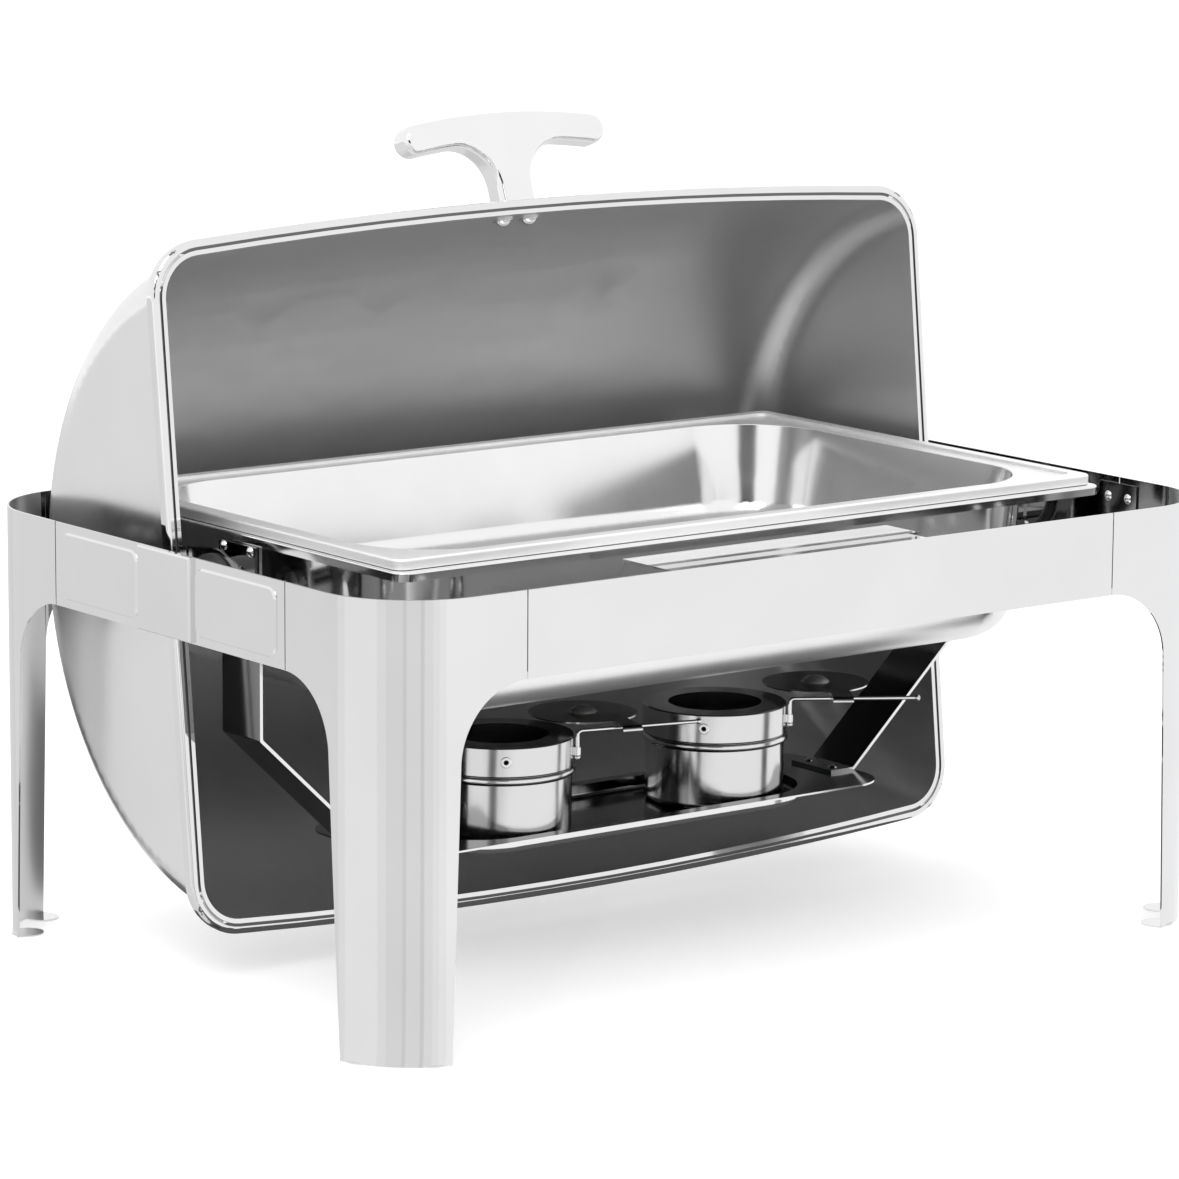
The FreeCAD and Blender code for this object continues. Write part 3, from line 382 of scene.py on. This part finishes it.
def finish_lid():
    """The lid is satin outside and duller inside, with a polished rim whose groove is painted dark as shade."""
    shell = NODES["lid_shell"]
    finishes = (LID_OUTSIDE, LID_INSIDE, MIRROR, LID_GROOVE_SHADE)
    shell.data.materials.clear()
    for finish in finishes:
        shell.data.materials.append(finish.material)
    pivot = Vector(next(j["pos_m"] for j in frame["joints"] if j["name"] == "lid_roll"))
    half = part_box("lid_ear_right")[1].x
    turn = math.radians(LID_OPEN_DEG)
    for face in shell.data.polygons:
        spot = face.center - pivot
        past = max(0.0, abs(spot.x) - half + LID_CORNER) / LID_CORNER
        outward = Vector((0.0, spot.y, spot.z)).normalized()
        outward.x = math.copysign(2.0 * past, spot.x)
        skin = LID_END_R + LID_BOW * (1.0 - (spot.x / half) ** 2)
        out = max(math.hypot(spot.y, spot.z) - skin, abs(spot.x) - half - LID_SHEET)
        above_rim = spot.y * math.sin(turn) + spot.z * math.cos(turn) - LID_RIM
        in_groove = GROOVE[0] < out < GROOVE[1] and RIM_FACE < above_rim < GROOVE_DEPTH
        # painted shade in the rim's groove
        if in_groove:
            finish = LID_GROOVE_SHADE
        elif out > BEAD_FROM or above_rim < RIM_FACE:
            finish = MIRROR
        elif face.normal.dot(outward) < 0.0:
            finish = LID_INSIDE
        else:
            finish = LID_OUTSIDE
        face.material_index = finishes.index(finish)


# ---- floor, light and camera ---------------------------------------------------------------
def stage_sheet(name, corners, grey, glow):
    """Flat sheet for the studio: a plain grey that glows, with the glow as its tone and strength."""
    mesh = bpy.data.meshes.new(name)
    mesh.from_pydata(corners, [], [tuple(range(len(corners)))])
    sheet = bpy.data.objects.new(name, mesh)
    bpy.context.scene.collection.objects.link(sheet)
    tone, strength = glow
    g = Graph(name)
    g.shader.inputs["Base Color"].default_value = (grey, grey, grey, 1.0)
    g.shader.inputs["Emission Color"].default_value = (tone, tone, tone, 1.0)
    g.shader.inputs["Emission Strength"].default_value = strength
    mesh.materials.append(g.material)
    return sheet, g.shader


def rectangle(x0, x1, y0, y1, level):
    return [(x0, y0, level), (x1, y0, level), (x1, y1, level), (x0, y1, level)]


def make_floor():
    corners = rectangle(-FLOOR_SIDE, FLOOR_SIDE, -FLOOR_SIDE, FLOOR_SIDE, 0.0)
    shader = stage_sheet("floor", corners, FLOOR_GREY, (1.0, FLOOR_GLOW))[1]
    shader.inputs["Roughness"].default_value = FLOOR_ROUGH


def flag(name, corners, tone):
    """Card that only reflections see, as a studio flag does: it sets what the steel mirrors."""
    card, shader = stage_sheet(name, corners, 0.0, (tone, 1.0))
    shader.inputs["Roughness"].default_value = 1.0
    shader.inputs["Specular IOR Level"].default_value = 0.0
    card.visible_camera = False
    card.visible_diffuse = False
    card.visible_shadow = False
    card.visible_transmission = False


def floor_sector(name, start_deg, end_deg, tone):
    """Card on the floor seen mirrored in one vertical band of the front left leg's round corner."""
    near = []
    far = []
    for i in range(SECTOR_STEPS + 1):
        normal = math.radians(start_deg + (end_deg - start_deg) * i / SECTOR_STEPS)
        away = 2.0 * normal - CAMERA_YAW
        x = -FRAME_HALF[0] + FRAME_CORNER * (1.0 - math.sin(normal))
        y = -FRAME_HALF[1] + FRAME_CORNER * (1.0 - math.cos(normal))
        near.append((x, y, SECTOR_LEVEL))
        far.append((x - SECTOR_REACH * math.sin(away), y - SECTOR_REACH * math.cos(away),
                    SECTOR_LEVEL))
    flag(name, near + far[::-1], tone)


def make_flags():
    """A pale floor, the leg's bands, painted shade under the object, and the dark of the room."""
    flag("flag_floor", rectangle(-CARD_SIDE, CARD_SIDE, -CARD_SIDE, CARD_SIDE, CARD_LEVEL),
         CARD_TONE)
    for name, start_deg, end_deg, tone in LEG_SECTORS:
        floor_sector("flag_" + name, start_deg, end_deg, tone)
    low, high = cad_box
    # painted shade: a dark card under the object, seen only in reflections, stands in for the shade beneath it
    flag("flag_under", rectangle(low.x + UNDER_INSET, high.x - UNDER_INSET,
                                 low.y + UNDER_INSET, high.y - UNDER_INSET, UNDER_LEVEL),
         UNDER_SHADE_TONE)
    side = Vector((math.cos(CAMERA_YAW), -math.sin(CAMERA_YAW), 0.0)) * ROOM_HALF
    middle = Vector((-math.sin(CAMERA_YAW), -math.cos(CAMERA_YAW), 0.0)) * ROOM_AWAY
    foot = middle + Vector((0.0, 0.0, ROOM_LOW))
    head = middle + Vector((0.0, 0.0, ROOM_HIGH))
    flag("flag_room", [foot - side, foot + side, head + side, head - side], ROOM_TONE)


def make_light():
    """White surroundings and one large soft lamp above the front left."""
    world = bpy.data.worlds.new("studio")
    world.use_nodes = True
    surroundings = world.node_tree.nodes["Background"].inputs
    surroundings["Color"].default_value = (1.0, 1.0, 1.0, 1.0)
    surroundings["Strength"].default_value = WORLD_GLOW
    bpy.context.scene.world = world
    light = bpy.data.lights.new("key", "AREA")
    light.size = KEY_SIDE
    light.energy = KEY_WATTS
    lamp = bpy.data.objects.new("key", light)
    lamp.location = KEY_AT
    lamp.rotation_euler = (KEY_TARGET - KEY_AT).to_track_quat("-Z", "Y").to_euler()
    bpy.context.scene.collection.objects.link(lamp)
    bpy.context.scene.view_settings.view_transform = "Standard"


def make_camera():
    """Camera at the photo's angle."""
    forward = Vector((math.sin(CAMERA_YAW) * math.cos(CAMERA_PITCH),
                      math.cos(CAMERA_YAW) * math.cos(CAMERA_PITCH), -math.sin(CAMERA_PITCH)))
    level = Vector((math.cos(CAMERA_YAW), -math.sin(CAMERA_YAW), 0.0))
    upright = level.cross(forward)
    right = level * math.cos(CAMERA_ROLL) + upright * math.sin(CAMERA_ROLL)
    up = upright * math.cos(CAMERA_ROLL) - level * math.sin(CAMERA_ROLL)
    data = bpy.data.cameras.new("camera")
    data.sensor_width = SENSOR_MM
    data.lens = LENS_MM
    data.clip_end = CAMERA_CLIP
    camera = bpy.data.objects.new("camera", data)
    turn = Matrix((right, up, -forward)).transposed().to_4x4()
    camera.matrix_world = Matrix.Translation(CAMERA_AT) @ turn
    bpy.context.scene.collection.objects.link(camera)
    bpy.context.scene.camera = camera


finish_nodes()
finish_faces()
finish_lid()
make_floor()
make_flags()
make_light()
make_camera()
